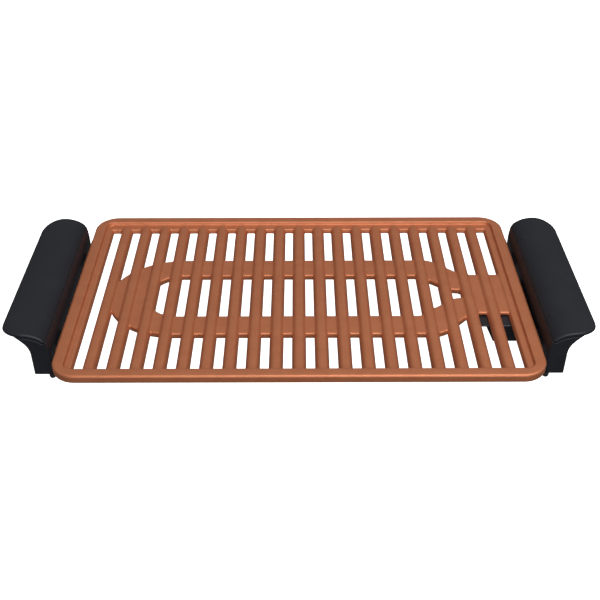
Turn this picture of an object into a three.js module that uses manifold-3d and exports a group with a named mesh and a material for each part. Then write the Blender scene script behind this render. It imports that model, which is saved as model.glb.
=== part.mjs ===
// Electric grill grate: one cast cooking grate with a heating element along its underside, a control
// socket under its right end and two side handles that it stands on.
// Millimetres. +X points to the socket end, +Y to the back, +Z up. The origin is on the surface that
// the feet stand on, under the middle of the grate.
import * as THREE from 'three';
import { mergeVertices } from 'three/addons/utils/BufferGeometryUtils.js';
import Module from 'manifold-3d';

const wasm = await Module();
wasm.setup();

// ---------------------------------------------------------------- driving dimensions

const GAP = 0.3; // clearance between pieces that touch
const PAST = 1; // how far a cutter runs past the face it opens
const ABOVE_ALL = 60; // higher than any piece

// Levels above the table.
const RIM_TOP = 30.3;
const CREST_TOP = 28.8;
const LEDGE_TOP = 27;
const BAND_TOP = 25.6;
const CAST_BOTTOM = 22;
const BAND_BOTTOM = 19.8;
const SOCKET_AXIS = 13.2;
const LEG_BOTTOM = 4.5;
const GRIP_TOP = 48.8;

// Grate: outer block, sunken tray, slots between the bars, lugs under the short rims.
const PLATE = { width: 420, depth: 256, radius: 22, fillet: 2 };
const TRAY = { width: 398, depth: 234, radius: 7, draft: 0.8 };
const SLOT = { count: 20, pitch: 19.8, topWidth: 10.7, bottomWidth: 6.8, front: -115, back: 108.5 };
const CROWN = { shoulder: 0.9, flat: 0.5, drop: 0.5, pastSlot: 5 };
const LUG = { reach: 211.5, depth: 6, halfLength: 91, top: 26.8 };

// Band that carries the heating element: straight sides, an elliptic left end, a mitred right end.
const BAND = { middle: -6.2, halfOuter: 58.9, halfInner: 32.3, straightLeft: -112, straightRight: 122 };
const BAND_END = { outer: 66, inner: 29 };
const BAND_CORNER = { start: 4, control: 8, end: 16, frontRise: 10, backDrop: 8 };
const OPENING_FRONT_CORNER = { start: 108, end: 118, rise: 7 };
const OPENING_BACK_CORNER = { start: 124, end: 110, drop: 6.5 };
const OPENING_TIP = [
  [146, -11.6],
  [154, -10.2],
  [157, -8],
  [157, -0.6],
  [154, 1.9],
  [145, 2.9],
];
const PAD = { left: 158, right: 199.5, front: -34.5, back: 27.2, overlap: 6 };
const PROBE_BOSS = { left: 157.5, right: 167.5, halfWidth: 6.2, bottom: 8 };

// Heating element and what it plugs into.
const TUBE = { radius: 3.5, level: 20.6, end: 186.5, steps: 96, clearance: 0.35, straightRight: 114 };
// [x, outwards from the terminal, up from the socket's axis]
const LEAD_IN_AT_TERMINAL = [
  [TUBE.end, 0, 0],
  [179, 0, 0],
  [173, 0, 0.7],
  [166, 0.8, 3.6],
];
const LEAD_IN_TOP = { x: 158, out: 3, below: 1 };
// [x, inwards from the straight run]
const LEAD_IN_ALONG_BAND = [
  [150, 30],
  [138, 15.5],
  [126, 3.5],
  [TUBE.straightRight, 0],
];
const SOCKET_MIDDLE = -10;
const PIN_SPACING = 25;
const PIN = { radius: 2, left: 187, right: 209 };
const INSULATOR = { radius: 4.6, neck: 3.4, left: 187, right: 196, plate: 192 };
const SLEEVE = { radius: 4, bore: 3.2, left: 158.5, right: 194 };
const FRAME = { left: 192, right: 212.8, halfWidth: 21, bottom: 7.3, top: 19.1, sheet: 0.8 };
const HOUSING_X = { left: 168.9, foot: 177.5, right: 213.5 };
const HOUSING = { ...HOUSING_X, front: -49.2, back: 26, bottom: 3.2, top: 21.6, wall: 2.2 };
const HOUSING_EAR = { left: 160, right: 174, back: -36, sheet: 1.4 };
const HOUSING_SCREWS = { x: 186, front: -30.5, back: 18, post: 3.6, top: 24.2 };
const SCREW_POCKET = 2.9; // how deep a socket screw's head lies in the housing
const SPRING_X = { left: 194, flat: 200, dip: 205.5, right: 210.5 };
const SPRING = { ...SPRING_X, sag: 1.9, lift: 0.4, halfWidth: 3, sheet: 0.5 };

// Handles. The distances are from the middle of the grate.
const HANDLE = { inner: 214, wall: 231.3, lip: 257.5, halfLength: 95.8, overhang: 0.5, sheet: 3 };
// The grip's section: [out from the handle's inner face, up from the grip's top].
const GRIP_CREASE = [2.9, -8.6];
const GRIP_SECTION = {
  notch: [5.8, -10.4],
  under: [[9.5, -6.8], [15, -4.2], [26, -3.8]],
  underLip: [[33, -3.6], [38, -4.2], [42.8, -6.4]],
  edge: [[43.8, -5], [42.6, -3.4]],
  top: [[38, -1.2], [31, 0], [24, 0]],
  crown: [[13, 0], [6, -4.3], GRIP_CREASE],
};
// The leg's section and its hollow: [out from the handle's inner face, height].
const LEG_SECTION = {
  flareStart: [17.3, 27.3],
  flare: [[17.6, 33.5], [21.2, 40.8], [29.6, 44.7]],
  shelfStart: [26, 44.7],
  shelf: [[15.1, 44.3], [9.7, 41.7], [5.64, 38.1]],
  innerFace: [[2.74, 39.9], [1.7, 37.4], [0.5, 31.2], [0, 26.6]],
};
const LEG_HOLLOW = {
  flareStart: [14.3, 27.5],
  flare: [[14.7, 34.5], [18, 41], [24.5, 43.3]],
  opening: [[24.5, 46], [6.2, 46], [6.2, 38]],
  innerFace: [[4.7, 36], [3.5, 31], [3, 26.6]],
};
const GRIP_CORNERS = { inner: 3, lip: 22 };
const GRIP_BOSS = { radius: 3.6, top: 43.5, holeTop: 35 };
const STRAP = { left: 197, right: 228, y: 63, width: 18, bottom: 18.7, top: 21.7 };
const GRATE_SCREW = { x: 204.5, tip: 27.8 };
const GRIP_SCREW = { x: 224.1, tip: 34.4 };
const RIB = { y: 42, thickness: 2, top: 30, inset: 2, lift: 1.5 };
const FOOT = { x: 216.4, y: 92.8, radius: 2.9, stem: 1.5, stemTop: 10 };
const FOOT_BLOCK = { reach: 8.6, y: 86, top: 14 };
const PORT = { halfWidth: 23, bottom: 7, top: 20, wall: 2 };

// Screws: one head for all of them.
const SCREW = { shank: 1.75, head: 3.1, headHeight: 2.2, recess: 1.1, holePast: 0.5 };

// ---------------------------------------------------------------- materials

function material(name, color, roughness, metalness) {
  return new THREE.MeshStandardMaterial({ name, color, roughness, metalness });
}

const copperCoating = () => material('copper_coating', 0xa56948, 0.45, 0.6);
const blackMoulding = () => material('black_moulding', 0x2c2d32, 0.5, 0);
const elementSheath = () => material('element_sheath', 0x6e6a66, 0.4, 0.9);
const steelSheet = () => material('steel_sheet', 0x9b9c9e, 0.35, 0.95);
const blackStrap = () => material('black_strap', 0x1d1d20, 0.55, 0.3);
const screwSteel = () => material('screw_steel', 0x8c8d90, 0.3, 0.95);
const ceramicWhite = () => material('ceramic_white', 0xe4ded0, 0.6, 0);
const rubberBlack = () => material('rubber_black', 0x151516, 0.85, 0);

// ---------------------------------------------------------------- solids

// Turns a closed three.js geometry into a solid. Zero-area triangles at a pole are dropped, and a
// profile may run either way round.
function solid(geometry) {
  const bare = geometry.clone();
  bare.deleteAttribute('normal');
  bare.deleteAttribute('uv');
  const merged = mergeVertices(bare, 1e-4);
  const index = merged.index.array;
  const triangles = [];
  for (let i = 0; i < index.length; i += 3) {
    const [a, b, c] = [index[i], index[i + 1], index[i + 2]];
    if (a !== b && b !== c && c !== a) triangles.push([a, b, c]);
  }
  const vertProperties = merged.attributes.position.array;
  const body = (faces) =>
    new wasm.Manifold(new wasm.Mesh({ numProp: 3, vertProperties, triVerts: new Uint32Array(faces.flat()) }));
  const made = body(triangles);
  return made.volume() > 0 ? made : body(triangles.map(([a, b, c]) => [a, c, b]));
}

function geometryOf(body) {
  const mesh = body.getMesh();
  const geometry = new THREE.BufferGeometry();
  geometry.setAttribute('position', new THREE.BufferAttribute(mesh.vertProperties, 3));
  geometry.setIndex(new THREE.BufferAttribute(mesh.triVerts, 1));
  geometry.computeVertexNormals();
  return geometry;
}

function box(x0, x1, y0, y1, z0, z1) {
  const geometry = new THREE.BoxGeometry(x1 - x0, y1 - y0, z1 - z0);
  geometry.translate((x0 + x1) / 2, (y0 + y1) / 2, (z0 + z1) / 2);
  return solid(geometry);
}

function upright(shape, z0, z1, curveSegments = 6) {
  const geometry = new THREE.ExtrudeGeometry(shape, { depth: z1 - z0, bevelEnabled: false, curveSegments });
  geometry.translate(0, 0, z0);
  return solid(geometry);
}

// The shape is drawn in X and Z and runs along Y.
function lengthwise(shape, y0, y1, curveSegments = 6) {
  const geometry = new THREE.ExtrudeGeometry(shape, { depth: y1 - y0, bevelEnabled: false, curveSegments });
  geometry.rotateX(Math.PI / 2);
  geometry.translate(0, y1, 0);
  return solid(geometry);
}

function rodUp(x, y, z0, z1, radius, sides = 16) {
  const geometry = new THREE.CylinderGeometry(radius, radius, z1 - z0, sides);
  geometry.rotateX(Math.PI / 2);
  geometry.translate(x, y, (z0 + z1) / 2);
  return solid(geometry);
}

function rodAlongX(x0, x1, y, z, radius, sides = 16) {
  const geometry = new THREE.CylinderGeometry(radius, radius, x1 - x0, sides);
  geometry.rotateZ(Math.PI / 2);
  geometry.translate((x0 + x1) / 2, y, z);
  return solid(geometry);
}

// A turned body from [radius, height] pairs, which start and end on its upright axis.
function turned(profile, x, y, sides = 16) {
  const points = profile.map(([radius, height]) => new THREE.Vector2(radius, height));
  const geometry = new THREE.LatheGeometry(points, sides);
  geometry.rotateX(Math.PI / 2);
  geometry.translate(x, y, 0);
  return solid(geometry);
}

function polygon(points) {
  return new THREE.Shape(points.map(([x, y]) => new THREE.Vector2(x, y)));
}

// A rectangle with one corner radius on its low-X side and another on its high-X side.
function roundedRectangle(x0, x1, y0, y1, lowRadius, highRadius = lowRadius) {
  const shape = new THREE.Shape();
  shape.moveTo(x0 + lowRadius, y0);
  shape.lineTo(x1 - highRadius, y0);
  shape.absarc(x1 - highRadius, y0 + highRadius, highRadius, -Math.PI / 2, 0);
  shape.lineTo(x1, y1 - highRadius);
  shape.absarc(x1 - highRadius, y1 - highRadius, highRadius, 0, Math.PI / 2);
  shape.lineTo(x0 + lowRadius, y1);
  shape.absarc(x0 + lowRadius, y1 - lowRadius, lowRadius, Math.PI / 2, Math.PI);
  shape.lineTo(x0, y0 + lowRadius);
  shape.absarc(x0 + lowRadius, y0 + lowRadius, lowRadius, Math.PI, Math.PI * 1.5);
  return shape;
}

// A solid that flares outwards over its first rise, and is straight above it.
function flared(shape, z0, rise, flare, height) {
  const geometry = new THREE.ExtrudeGeometry(shape, {
    depth: height,
    bevelThickness: rise,
    bevelSize: flare,
    bevelSegments: 1,
    curveSegments: 5,
  });
  geometry.translate(0, 0, z0 + rise);
  return solid(geometry);
}

// ---------------------------------------------------------------- grate

function plateBlank() {
  const { width, depth, radius, fillet } = PLATE;
  const outline = roundedRectangle(-width / 2, width / 2, -depth / 2, depth / 2, radius);
  const geometry = new THREE.ExtrudeGeometry(outline, {
    depth: RIM_TOP - CAST_BOTTOM - 2 * fillet,
    bevelThickness: fillet,
    bevelSize: fillet,
    bevelOffset: -fillet,
    bevelSegments: 2,
    curveSegments: 7,
  });
  geometry.translate(0, 0, CAST_BOTTOM + fillet);
  return solid(geometry);
}

function tray() {
  const { width, depth, radius, draft } = TRAY;
  const outline = roundedRectangle(-width / 2, width / 2, -depth / 2, depth / 2, radius);
  return flared(outline, LEDGE_TOP, RIM_TOP - LEDGE_TOP, draft, PAST);
}

function slotX(i) {
  return (i - (SLOT.count - 1) / 2) * SLOT.pitch;
}

function slotCutter(i) {
  const draftPerMm = (SLOT.topWidth - SLOT.bottomWidth) / 2 / (LEDGE_TOP - CAST_BOTTOM);
  const low = CAST_BOTTOM - PAST;
  const high = LEDGE_TOP + PAST;
  const halfLow = SLOT.bottomWidth / 2 - PAST * draftPerMm;
  const halfHigh = SLOT.topWidth / 2 + PAST * draftPerMm;
  const x = slotX(i);
  const section = polygon([
    [x - halfLow, low],
    [x + halfLow, low],
    [x + halfHigh, high],
    [x - halfHigh, high],
  ]);
  return lengthwise(section, SLOT.front, SLOT.back);
}

// The rounded crown along the top of the bar to the right of slot i.
function barCrown(i) {
  const x = slotX(i) + SLOT.pitch / 2;
  const half = (SLOT.pitch - SLOT.topWidth) / 2;
  const section = polygon([
    [x - half, LEDGE_TOP - PAST],
    [x + half, LEDGE_TOP - PAST],
    [x + half, LEDGE_TOP],
    [x + half * CROWN.shoulder, CREST_TOP - CROWN.drop],
    [x + half * CROWN.flat, CREST_TOP],
    [x - half * CROWN.flat, CREST_TOP],
    [x - half * CROWN.shoulder, CREST_TOP - CROWN.drop],
    [x - half, LEDGE_TOP],
  ]);
  return lengthwise(section, -TRAY.depth / 2 - PAST, SLOT.back + CROWN.pastSlot);
}

function bandOutline() {
  const { middle, halfOuter, straightLeft, straightRight } = BAND;
  const { start, control, end, frontRise, backDrop } = BAND_CORNER;
  const front = middle - halfOuter;
  const back = middle + halfOuter;
  const shape = new THREE.Shape();
  shape.moveTo(straightLeft, front);
  shape.lineTo(straightRight - start, front);
  shape.quadraticCurveTo(straightRight + control, front, straightRight + end, front + frontRise);
  shape.lineTo(PAD.left, PAD.front);
  shape.lineTo(PAD.left + PAD.overlap, PAD.front);
  shape.lineTo(PAD.left + PAD.overlap, PAD.back);
  shape.lineTo(PAD.left, PAD.back);
  shape.lineTo(straightRight + end, back - backDrop);
  shape.quadraticCurveTo(straightRight + control, back, straightRight, back);
  shape.lineTo(straightLeft, back);
  shape.absellipse(straightLeft, middle, BAND_END.outer, halfOuter, Math.PI / 2, Math.PI * 1.5);
  return shape;
}

function bandOpening() {
  const { middle, halfInner, straightLeft } = BAND;
  const near = OPENING_FRONT_CORNER;
  const far = OPENING_BACK_CORNER;
  const front = middle - halfInner;
  const back = middle + halfInner;
  const shape = new THREE.Shape();
  shape.moveTo(straightLeft, front);
  shape.lineTo(near.start, front);
  shape.quadraticCurveTo((near.start + near.end) / 2, front, near.end, front + near.rise);
  for (const [x, y] of OPENING_TIP) shape.lineTo(x, y);
  shape.lineTo(far.start, back - far.drop);
  shape.quadraticCurveTo((far.start + far.end) / 2, back, far.end, back);
  shape.lineTo(straightLeft, back);
  shape.absellipse(straightLeft, middle, BAND_END.inner, halfInner, Math.PI / 2, Math.PI * 1.5);
  return shape;
}

// The element runs round the band, then both ends dip under the pad to the socket's level.
function elementPath() {
  const middleRadius = (BAND.halfOuter + BAND.halfInner) / 2;
  const endRadius = (BAND_END.outer + BAND_END.inner) / 2;
  const points = [];
  const add = (x, y, z = TUBE.level) => points.push(new THREE.Vector3(x, y, z));
  const leadIn = (side) => {
    const terminal = SOCKET_MIDDLE + (side * PIN_SPACING) / 2;
    const beside = BAND.middle + side * middleRadius;
    return [
      ...LEAD_IN_AT_TERMINAL.map(([x, out, up]) => [x, terminal + side * out, SOCKET_AXIS + up]),
      [LEAD_IN_TOP.x, terminal + side * LEAD_IN_TOP.out, TUBE.level - LEAD_IN_TOP.below],
      ...LEAD_IN_ALONG_BAND.map(([x, inwards]) => [x, beside - side * inwards, TUBE.level]),
    ];
  };
  leadIn(1).forEach((p) => add(...p));
  const straightSteps = 6;
  const straightX = (i) => THREE.MathUtils.lerp(TUBE.straightRight, BAND.straightLeft, i / straightSteps);
  for (let i = 1; i < straightSteps; i++) {
    add(straightX(i), BAND.middle + middleRadius);
  }
  const endSteps = 12;
  for (let i = 0; i <= endSteps; i++) {
    const angle = Math.PI / 2 + (Math.PI * i) / endSteps;
    add(BAND.straightLeft + endRadius * Math.cos(angle), BAND.middle + middleRadius * Math.sin(angle));
  }
  for (let i = straightSteps - 1; i > 0; i--) {
    add(straightX(i), BAND.middle - middleRadius);
  }
  leadIn(-1).reverse().forEach((p) => add(...p));
  return new THREE.CatmullRomCurve3(points, false, 'centripetal');
}

function elementTube(radius) {
  const section = new THREE.Shape();
  section.absarc(0, 0, radius, 0, Math.PI * 2);
  const options = { extrudePath: elementPath(), steps: TUBE.steps, curveSegments: 5 };
  return solid(new THREE.ExtrudeGeometry(section, options));
}

function grillPlate(elementChannel) {
  let body = plateBlank().subtract(tray());
  for (let i = 0; i < SLOT.count; i++) body = body.subtract(slotCutter(i));
  for (let i = 0; i < SLOT.count - 1; i++) body = body.add(barCrown(i));
  const band = upright(bandOutline(), BAND_BOTTOM, BAND_TOP, 8);
  const opening = upright(bandOpening(), BAND_BOTTOM - PAST, BAND_TOP + PAST, 8);
  body = body.add(band.subtract(opening));
  body = body.add(box(PAD.left, PAD.right, PAD.front, PAD.back, CAST_BOTTOM, BAND_TOP));
  for (const side of [-1, 1]) {
    const low = side < 0 ? -LUG.reach : LUG.reach - LUG.depth;
    body = body.add(box(low, low + LUG.depth, -LUG.halfLength, LUG.halfLength, CAST_BOTTOM, LUG.top));
    for (const end of [-1, 1]) {
      const x = side * GRATE_SCREW.x;
      const holeTop = GRATE_SCREW.tip + SCREW.holePast;
      body = body.subtract(rodUp(x, end * STRAP.y, CAST_BOTTOM - PAST, holeTop, SCREW.shank + GAP));
    }
  }
  const { left, right, halfWidth, bottom } = PROBE_BOSS;
  const bossY = [SOCKET_MIDDLE - halfWidth, SOCKET_MIDDLE + halfWidth];
  const boss = box(left, right, ...bossY, bottom, CAST_BOTTOM + PAST);
  body = body.add(boss);
  body = body.subtract(rodAlongX(left - PAST, right + PAST, SOCKET_MIDDLE, SOCKET_AXIS, SLEEVE.radius + GAP));
  for (const y of [HOUSING_SCREWS.front, HOUSING_SCREWS.back]) {
    const holeTop = HOUSING_SCREWS.top + SCREW.holePast;
    body = body.subtract(rodUp(HOUSING_SCREWS.x, y, CAST_BOTTOM - PAST, holeTop, SCREW.shank + GAP));
  }
  return body.subtract(elementChannel);
}

// ---------------------------------------------------------------- control socket

function socketHousing(elementChannel) {
  const { left, foot, right, front, back, bottom, top, wall } = HOUSING;
  const outer = polygon([
    [foot, bottom],
    [right, bottom],
    [right, top],
    [left, top],
  ]);
  const inner = polygon([
    [foot + 1.4, bottom + wall],
    [right + PAST, bottom + wall],
    [right + PAST, top - wall],
    [left + 3.6, top - wall],
  ]);
  const ear = box(HOUSING_EAR.left, HOUSING_EAR.right, front, HOUSING_EAR.back, top - HOUSING_EAR.sheet, top);
  let body = lengthwise(outer, front, back).subtract(lengthwise(inner, front + wall, back - wall)).add(ear);
  for (const y of [HOUSING_SCREWS.front, HOUSING_SCREWS.back]) {
    body = body.add(rodUp(HOUSING_SCREWS.x, y, bottom + 1, top - 1, HOUSING_SCREWS.post));
    body = body.subtract(rodUp(HOUSING_SCREWS.x, y, bottom - PAST, top + PAST, SCREW.shank + GAP));
    body = body.subtract(rodUp(HOUSING_SCREWS.x, y, bottom - PAST, bottom + SCREW_POCKET, SCREW.head + GAP));
  }
  body = body.subtract(rodAlongX(left, foot + 6, SOCKET_MIDDLE, SOCKET_AXIS, SLEEVE.radius + GAP));
  return body.subtract(elementChannel);
}

function inletFrame() {
  const { left, right, halfWidth, bottom, top, sheet } = FRAME;
  const low = SOCKET_MIDDLE - halfWidth;
  const high = SOCKET_MIDDLE + halfWidth;
  let body = box(left, right, low, high, bottom, top);
  const room = box(left + sheet, right + PAST, low + sheet, high - sheet, bottom + sheet, top - sheet);
  body = body.subtract(room);
  for (const side of [-1, 1]) {
    const y = SOCKET_MIDDLE + (side * PIN_SPACING) / 2;
    body = body.subtract(rodAlongX(left - PAST, left + 2, y, SOCKET_AXIS, INSULATOR.neck + GAP));
  }
  return body.subtract(rodAlongX(left - PAST, left + 2, SOCKET_MIDDLE, SOCKET_AXIS, SLEEVE.radius + GAP));
}

function terminalPin(side) {
  const y = SOCKET_MIDDLE + (side * PIN_SPACING) / 2;
  const shaft = rodAlongX(PIN.left, PIN.right - 1.5, y, SOCKET_AXIS, PIN.radius, 12);
  const tip = rodAlongX(PIN.right - 2, PIN.right, y, SOCKET_AXIS, PIN.radius - 0.6, 12);
  return shaft.add(tip);
}

// A ceramic bead: its shoulder sits behind the frame's back wall and its neck passes through.
function terminalInsulator(side) {
  const y = SOCKET_MIDDLE + (side * PIN_SPACING) / 2;
  const { radius, neck, left, right, plate } = INSULATOR;
  const bead = rodAlongX(left, plate - GAP, y, SOCKET_AXIS, radius).add(
    rodAlongX(left + 1, right, y, SOCKET_AXIS, neck),
  );
  return bead.subtract(rodAlongX(left - PAST, right + PAST, y, SOCKET_AXIS, PIN.radius + GAP, 12));
}

function probeSleeve() {
  const { radius, bore, left, right } = SLEEVE;
  const tube = rodAlongX(left, right, SOCKET_MIDDLE, SOCKET_AXIS, radius);
  return tube.subtract(rodAlongX(left + 1.2, right + PAST, SOCKET_MIDDLE, SOCKET_AXIS, bore));
}

// A leaf spring under the frame's roof that grips the plug's earth plate.
function earthSpring() {
  const top = FRAME.top - FRAME.sheet - GAP;
  const line = [
    [SPRING.left, top],
    [SPRING.flat, top],
    [SPRING.dip, top - SPRING.sag],
    [SPRING.right, top - SPRING.lift],
  ];
  const under = line.map(([x, z]) => [x, z - SPRING.sheet]).reverse();
  const section = polygon([...line, ...under]);
  return lengthwise(section, SOCKET_MIDDLE - SPRING.halfWidth, SOCKET_MIDDLE + SPRING.halfWidth);
}

// ---------------------------------------------------------------- screws

// A pan-head screw that is driven upwards: its cross recess faces down.
function screw(x, y, headBottom, tip) {
  const { shank, head, headHeight, recess } = SCREW;
  const seat = headBottom + headHeight;
  const profile = [
    [0, headBottom],
    [head * 0.75, headBottom],
    [head, headBottom + 0.7],
    [head, seat],
    [shank, seat],
    [shank, tip - 1.2],
    [shank * 0.5, tip],
    [0, tip],
  ];
  const arm = head * 0.6;
  const slot = 0.35;
  const cross = box(x - arm, x + arm, y - slot, y + slot, headBottom - PAST, headBottom + recess).add(
    box(x - slot, x + slot, y - arm, y + arm, headBottom - PAST, headBottom + recess),
  );
  return turned(profile, x, y, 12).subtract(cross);
}

// ---------------------------------------------------------------- handles

// Starts a section in X and Z: its pen takes distances out from the handle's inner face and heights.
function sectionPen(base) {
  const shape = new THREE.Shape();
  const at = ([out, height]) => [HANDLE.inner + out, base + height];
  return {
    shape,
    start: (point) => shape.moveTo(...at(point)),
    lines: (...points) => points.forEach((point) => shape.lineTo(...at(point))),
    curve: (points) => {
      if (points.length > 2) shape.bezierCurveTo(...points.flatMap(at));
      else shape.quadraticCurveTo(...points.flatMap(at));
    },
  };
}

// A broad crowned top with a thin lip that hangs over outwards.
function gripSection() {
  const { notch, under, underLip, edge, top, crown } = GRIP_SECTION;
  const pen = sectionPen(GRIP_TOP);
  pen.start(GRIP_CREASE);
  pen.lines(notch);
  for (const points of [under, underLip, edge, top, crown]) pen.curve(points);
  return pen.shape;
}

// Upright walls that flare outwards under the grip.
function legSection() {
  const { flareStart, flare, shelfStart, shelf, innerFace } = LEG_SECTION;
  const pen = sectionPen(0);
  pen.start([0, LEG_BOTTOM]);
  pen.lines([HANDLE.wall - HANDLE.inner, LEG_BOTTOM], flareStart);
  pen.curve(flare);
  pen.lines(shelfStart);
  pen.curve(shelf);
  pen.lines(...innerFace);
  return pen.shape;
}

function legHollowSection() {
  const { flareStart, flare, opening, innerFace } = LEG_HOLLOW;
  const pen = sectionPen(0);
  pen.start([HANDLE.sheet, LEG_BOTTOM - PAST]);
  pen.lines([HANDLE.wall - HANDLE.inner - HANDLE.sheet, LEG_BOTTOM - PAST], flareStart);
  pen.curve(flare);
  pen.lines(...opening, ...innerFace);
  return pen.shape;
}

// What lies inside the handle's outline from above, less a margin at its ends and its lip.
function withinHandle(body, margin) {
  const { inner, lip, halfLength } = HANDLE;
  const half = halfLength - margin;
  const plan = roundedRectangle(inner, lip - margin, -half, half, GRIP_CORNERS.inner, GRIP_CORNERS.lip);
  return body.intersect(upright(plan, 0, ABOVE_ALL, 5));
}

function handleGrip() {
  const { halfLength } = HANDLE;
  let body = withinHandle(lengthwise(gripSection(), -halfLength, halfLength), 0);
  for (const end of [-1, 1]) {
    const y = end * STRAP.y;
    body = body.add(rodUp(GRIP_SCREW.x, y, STRAP.top + GAP, GRIP_BOSS.top, GRIP_BOSS.radius));
    body = body.subtract(rodUp(GRIP_SCREW.x, y, STRAP.top, GRIP_BOSS.holeTop, SCREW.shank + GAP));
  }
  return body;
}

function handleLeg(hasPort) {
  const half = HANDLE.halfLength - HANDLE.overhang;
  let body = withinHandle(lengthwise(legSection(), -half, half), HANDLE.overhang);
  body = body.subtract(lengthwise(legHollowSection(), -half + HANDLE.sheet, half - HANDLE.sheet));
  for (const end of [-1, 1]) {
    const rib = end * RIB.y;
    const halfRib = RIB.thickness / 2;
    const ribX = [HANDLE.inner + RIB.inset, HANDLE.wall - RIB.inset];
    body = body.add(box(...ribX, rib - halfRib, rib + halfRib, LEG_BOTTOM + RIB.lift, RIB.top));
    const blockX = [HANDLE.inner + 1, HANDLE.inner + FOOT_BLOCK.reach];
    const blockY = end > 0 ? [FOOT_BLOCK.y, half - 1] : [1 - half, -FOOT_BLOCK.y];
    body = body.add(box(...blockX, ...blockY, LEG_BOTTOM, FOOT_BLOCK.top));
    const holeTop = FOOT.stemTop + PAST;
    body = body.subtract(rodUp(FOOT.x, end * FOOT.y, LEG_BOTTOM - PAST, holeTop, FOOT.stem + GAP, 12));
    const gateX = [HANDLE.inner - PAST, HANDLE.inner + HANDLE.sheet + PAST];
    const gateY = [end * STRAP.y - STRAP.width / 2 - GAP, end * STRAP.y + STRAP.width / 2 + GAP];
    body = body.subtract(box(...gateX, ...gateY, STRAP.bottom - GAP, STRAP.top + GAP));
  }
  return hasPort ? openPort(body) : body;
}

// Opens the way through the leg for the plug-in control, with a tunnel between the leg's two walls.
function openPort(body) {
  const { halfWidth, bottom, top, wall } = PORT;
  const low = SOCKET_MIDDLE - halfWidth;
  const high = SOCKET_MIDDLE + halfWidth;
  const tunnel = box(HANDLE.inner + 1, HANDLE.wall - 1, low - wall, high + wall, bottom - wall, top + wall);
  return body.add(tunnel).subtract(box(HANDLE.inner - PAST, HANDLE.wall + PAST, low, high, bottom, top));
}

// A flat steel strap that reaches from under the rim, through the leg's inner wall, to the grip's boss.
function mountingStrap(end) {
  const { left, right, y, width, bottom, top } = STRAP;
  const plan = roundedRectangle(left, right, end * y - width / 2, end * y + width / 2, 4, 2);
  let body = upright(plan, bottom, top, 3);
  for (const { x } of [GRATE_SCREW, GRIP_SCREW]) {
    body = body.subtract(rodUp(x, end * y, bottom - PAST, top + PAST, SCREW.shank + GAP));
  }
  return body;
}

function foot(end) {
  const profile = [
    [0, 0],
    [FOOT.radius - 0.9, 0],
    [FOOT.radius - 0.3, 1],
    [FOOT.radius, 2.2],
    [FOOT.radius, LEG_BOTTOM - GAP],
    [FOOT.stem, LEG_BOTTOM - GAP],
    [FOOT.stem, FOOT.stemTop],
    [0, FOOT.stemTop],
  ];
  return turned(profile, FOOT.x, end * FOOT.y, 14);
}

// ---------------------------------------------------------------- assembly

const root = new THREE.Group();
root.name = 'electric_grill_grate';

function place(parent, name, body, surface) {
  const mesh = new THREE.Mesh(geometryOf(body), surface);
  mesh.name = name;
  parent.add(mesh);
}

const elementChannel = elementTube(TUBE.radius + TUBE.clearance);
place(root, 'grill_plate', grillPlate(elementChannel), copperCoating());
place(root, 'heating_element', elementTube(TUBE.radius), elementSheath());

const socket = new THREE.Group();
root.add(socket);
place(socket, 'socket_housing', socketHousing(elementChannel), blackMoulding());
place(socket, 'inlet_frame', inletFrame(), steelSheet());
place(socket, 'probe_sleeve', probeSleeve(), steelSheet());
place(socket, 'earth_spring', earthSpring(), steelSheet());
for (const [side, where] of [
  [1, 'back'],
  [-1, 'front'],
]) {
  place(socket, `terminal_pin_${where}`, terminalPin(side), screwSteel());
  place(socket, `terminal_insulator_${where}`, terminalInsulator(side), ceramicWhite());
  const post = screw(HOUSING_SCREWS.x, HOUSING_SCREWS[where], HOUSING.bottom + GAP, HOUSING_SCREWS.top);
  place(socket, `socket_screw_${where}`, post, screwSteel());
}

// The left handle is the right one turned half round, without the plug's port.
for (const side of ['right', 'left']) {
  const handle = new THREE.Group();
  handle.rotation.z = side === 'right' ? 0 : Math.PI;
  root.add(handle);
  place(handle, `handle_grip_${side}`, handleGrip(), blackMoulding());
  place(handle, `handle_leg_${side}`, handleLeg(side === 'right'), blackMoulding());
  for (const end of [1, -1]) {
    const where = end === (side === 'right' ? 1 : -1) ? 'back' : 'front';
    const underStrap = STRAP.bottom - GAP - SCREW.headHeight;
    const grateScrew = screw(GRATE_SCREW.x, end * STRAP.y, underStrap, GRATE_SCREW.tip);
    const gripScrew = screw(GRIP_SCREW.x, end * STRAP.y, underStrap, GRIP_SCREW.tip);
    place(handle, `mounting_strap_${side}_${where}`, mountingStrap(end), blackStrap());
    place(handle, `grate_screw_${side}_${where}`, grateScrew, screwSteel());
    place(handle, `grip_screw_${side}_${where}`, gripScrew, screwSteel());
    place(handle, `foot_${side}_${where}`, foot(end), rubberBlack());
  }
}

export default root;
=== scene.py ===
import math

import bpy
import numpy as np
from mathutils import Matrix, Vector


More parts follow.
